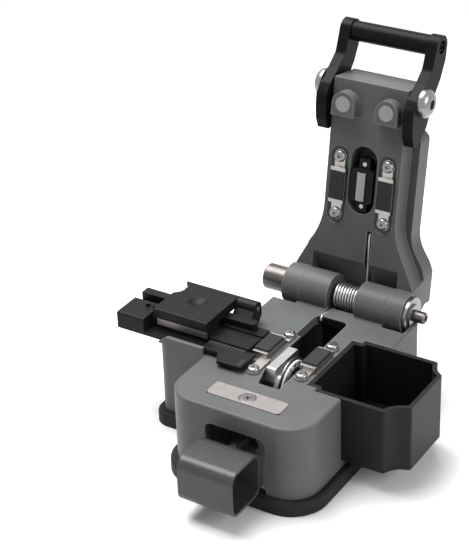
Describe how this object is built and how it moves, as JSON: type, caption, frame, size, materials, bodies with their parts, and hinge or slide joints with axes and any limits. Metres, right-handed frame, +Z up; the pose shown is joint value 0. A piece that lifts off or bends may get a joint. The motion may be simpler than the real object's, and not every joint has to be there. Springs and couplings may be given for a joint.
{
  "type": "fibre cleaver",
  "caption": "Bench tool that clamps a stripped optical fibre, scores it with a sliding carbide wheel and snaps it, with a sprung lid, a sliding fibre holder and a pull-out scrap bin.",
  "frame": {"origin": "on the underside of the rubber boot, directly under the point where the fibre line crosses the tool's front-to-back centreline", "axes": "+Z up, +Y from the pull tab towards the lid's hinge, +X from the fibre holder towards the scrap bin"},
  "size_m": [0.1145, 0.136, 0.1289],
  "materials": {
    "boot_rubber": "matt moulded rubber",
    "body_paint": "satin grey-green paint on cast aluminium",
    "plate_steel": "brushed plate",
    "screw_steel": "plated steel",
    "keeper_steel": "ground steel",
    "clamp_steel": "satin nickel plate",
    "pad_rubber": "dense rubber",
    "carriage_metal": "machined aluminium",
    "shaft_steel": "turned steel",
    "spring_steel": "drawn wire",
    "lid_paint": "satin grey-green paint on machined aluminium",
    "bush_bronze": "sintered bronze",
    "magnet_nickel": "nickel-plated magnet",
    "anvil_steel": "ground steel",
    "anvil_black": "machined and plated",
    "handle_black": "black anodised",
    "bracket_steel": "satin plate",
    "tab_metal": "dark grey anodised",
    "blade_carbide": "ground carbide",
    "dial_white": "white dial ring",
    "holder_black": "satin black anodised",
    "bin_black": "satin black moulded plastic"
  },
  "bodies": {
    "root": {"base_mat": "boot_rubber", "body_housing": "body_paint", "bottom_plate": "plate_steel", "bottom_screws": "screw_steel", "keeper_plate": "keeper_steel", "keeper_screw": "screw_steel", "lower_clamp_left": "clamp_steel", "lower_clamp_right": "clamp_steel", "lower_pad_left": "pad_rubber", "lower_pad_right": "pad_rubber", "clamp_screws": "screw_steel", "guide_rail": "carriage_metal", "rail_screws": "screw_steel", "hinge_shaft": "shaft_steel", "hinge_washer": "screw_steel", "hinge_spring": "spring_steel"},
    "lid": {"lid_arm": "lid_paint", "lid_bushes": "bush_bronze", "lid_magnets": "magnet_nickel", "upper_clamp_left": "clamp_steel", "upper_clamp_right": "clamp_steel", "upper_pad_left": "pad_rubber", "upper_pad_right": "pad_rubber", "upper_screws": "screw_steel", "anvil_guides": "anvil_steel", "anvil_springs": "spring_steel", "pivot_screws": "screw_steel"},
    "anvil": {"anvil_holder": "anvil_black", "anvil_bar": "anvil_steel"},
    "handle": {"handle_arm_left": "handle_black", "handle_arm_right": "handle_black", "handle_bar": "handle_black", "bar_screws": "handle_black"},
    "carriage": {"carriage_block": "carriage_metal", "blade_bracket": "bracket_steel", "blade_leaf": "bracket_steel", "blade_screw": "screw_steel", "pull_rod": "bracket_steel", "pull_tab": "tab_metal"},
    "blade": {"blade_disc": "blade_carbide", "blade_dial": "dial_white"},
    "holder": {"holder_rail": "holder_black", "holder_plate": "holder_black", "cover_strip": "keeper_steel", "cover_pin": "screw_steel"},
    "cover": {"holder_cover": "holder_black", "cover_pad": "pad_rubber"},
    "bin": {"scrap_bin": "bin_black"}
  },
  "joints": [
    {"name": "lid_hinge", "type": "hinge", "parent": "root", "child": "lid", "pos_m": [0, 0.0405, 0.0356], "axis": [1, 0, 0], "range_deg": [0, 100], "stiffness_Nm_per_rad": 0.02, "deforming": ["hinge_spring"]},
    {"name": "handle_pivot", "type": "hinge", "parent": "lid", "child": "handle", "pos_m": [0, 0.05853, 0.10909], "axis": [1, 0, 0], "range_deg": [0, 12]},
    {"name": "anvil_slide", "type": "slide", "parent": "lid", "child": "anvil", "axis": [0, 0.9848, -0.1736], "range_m": [0, 0.001], "stiffness_N_per_m": 300, "deforming": ["anvil_springs"]},
    {"name": "carriage_slide", "type": "slide", "parent": "root", "child": "carriage", "axis": [0, 1, 0], "range_m": [0, 0.018]},
    {"name": "blade_spin", "type": "hinge", "parent": "carriage", "child": "blade", "pos_m": [0.00215, -0.0059, 0.026], "axis": [1, 0, 0], "continuous": true},
    {"name": "holder_slide", "type": "slide", "parent": "root", "child": "holder", "axis": [1, 0, 0], "range_m": [-0.005, 0]},
    {"name": "cover_hinge", "type": "hinge", "parent": "holder", "child": "cover", "pos_m": [-0.04, 0.012, 0.0396], "axis": [-1, 0, 0], "range_deg": [0, 110]},
    {"name": "bin_slide", "type": "slide", "parent": "root", "child": "bin", "axis": [1, 0, 0], "range_m": [0, 0.04]}
  ]
}
